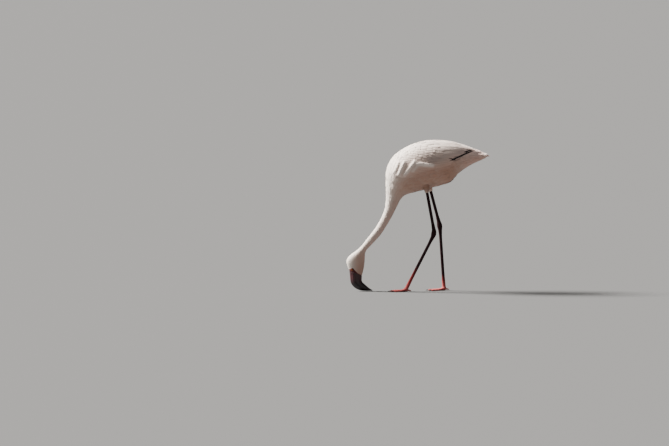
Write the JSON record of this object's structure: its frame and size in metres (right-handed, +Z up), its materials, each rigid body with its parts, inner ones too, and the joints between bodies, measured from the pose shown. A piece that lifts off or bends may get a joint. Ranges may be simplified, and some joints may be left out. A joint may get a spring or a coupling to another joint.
{
  "type": "lesser flamingo",
  "caption": "Still, life-size model of a pale wading flamingo that bows its long neck and feeds with its bent bill at the floor, one leg ahead of the other.",
  "frame": {"origin": "middle of the bird's footprint on the floor it stands on, below the centre of its bounding box", "axes": "-X the way the bird faces, -Y its left side, +Z up"},
  "size_m": [0.4769, 0.1308, 0.5006],
  "materials": {
    "plumage": "soft white feathers, faintly warm",
    "flight_feather": "matt black quills and webs",
    "bill": "dark maroon horn, satin",
    "face_skin": "bare dark maroon skin",
    "leg_skin": "dark red scaled skin",
    "foot_skin": "red scaled and webbed skin",
    "claw": "black horn",
    "eye": "wet, glossy"
  },
  "bodies": {
    "root": {"head": "plumage", "bill_upper": "bill", "bill_lower": "bill", "eye_left": "eye", "eye_right": "eye", "neck_upper": "plumage", "neck_middle": "plumage", "neck_lower": "plumage", "trunk": "plumage", "tail": "plumage", "wing_left": "plumage", "wing_right": "plumage", "thigh_left": "plumage", "thigh_right": "plumage", "shank_left": "leg_skin", "shank_right": "leg_skin", "tarsus_left": "leg_skin", "tarsus_right": "leg_skin", "foot_left": "foot_skin", "foot_right": "foot_skin", "claw_inner_left": "claw", "claw_middle_left": "claw", "claw_outer_left": "claw", "claw_inner_right": "claw", "claw_middle_right": "claw", "claw_outer_right": "claw"}
  },
  "joints": []
}
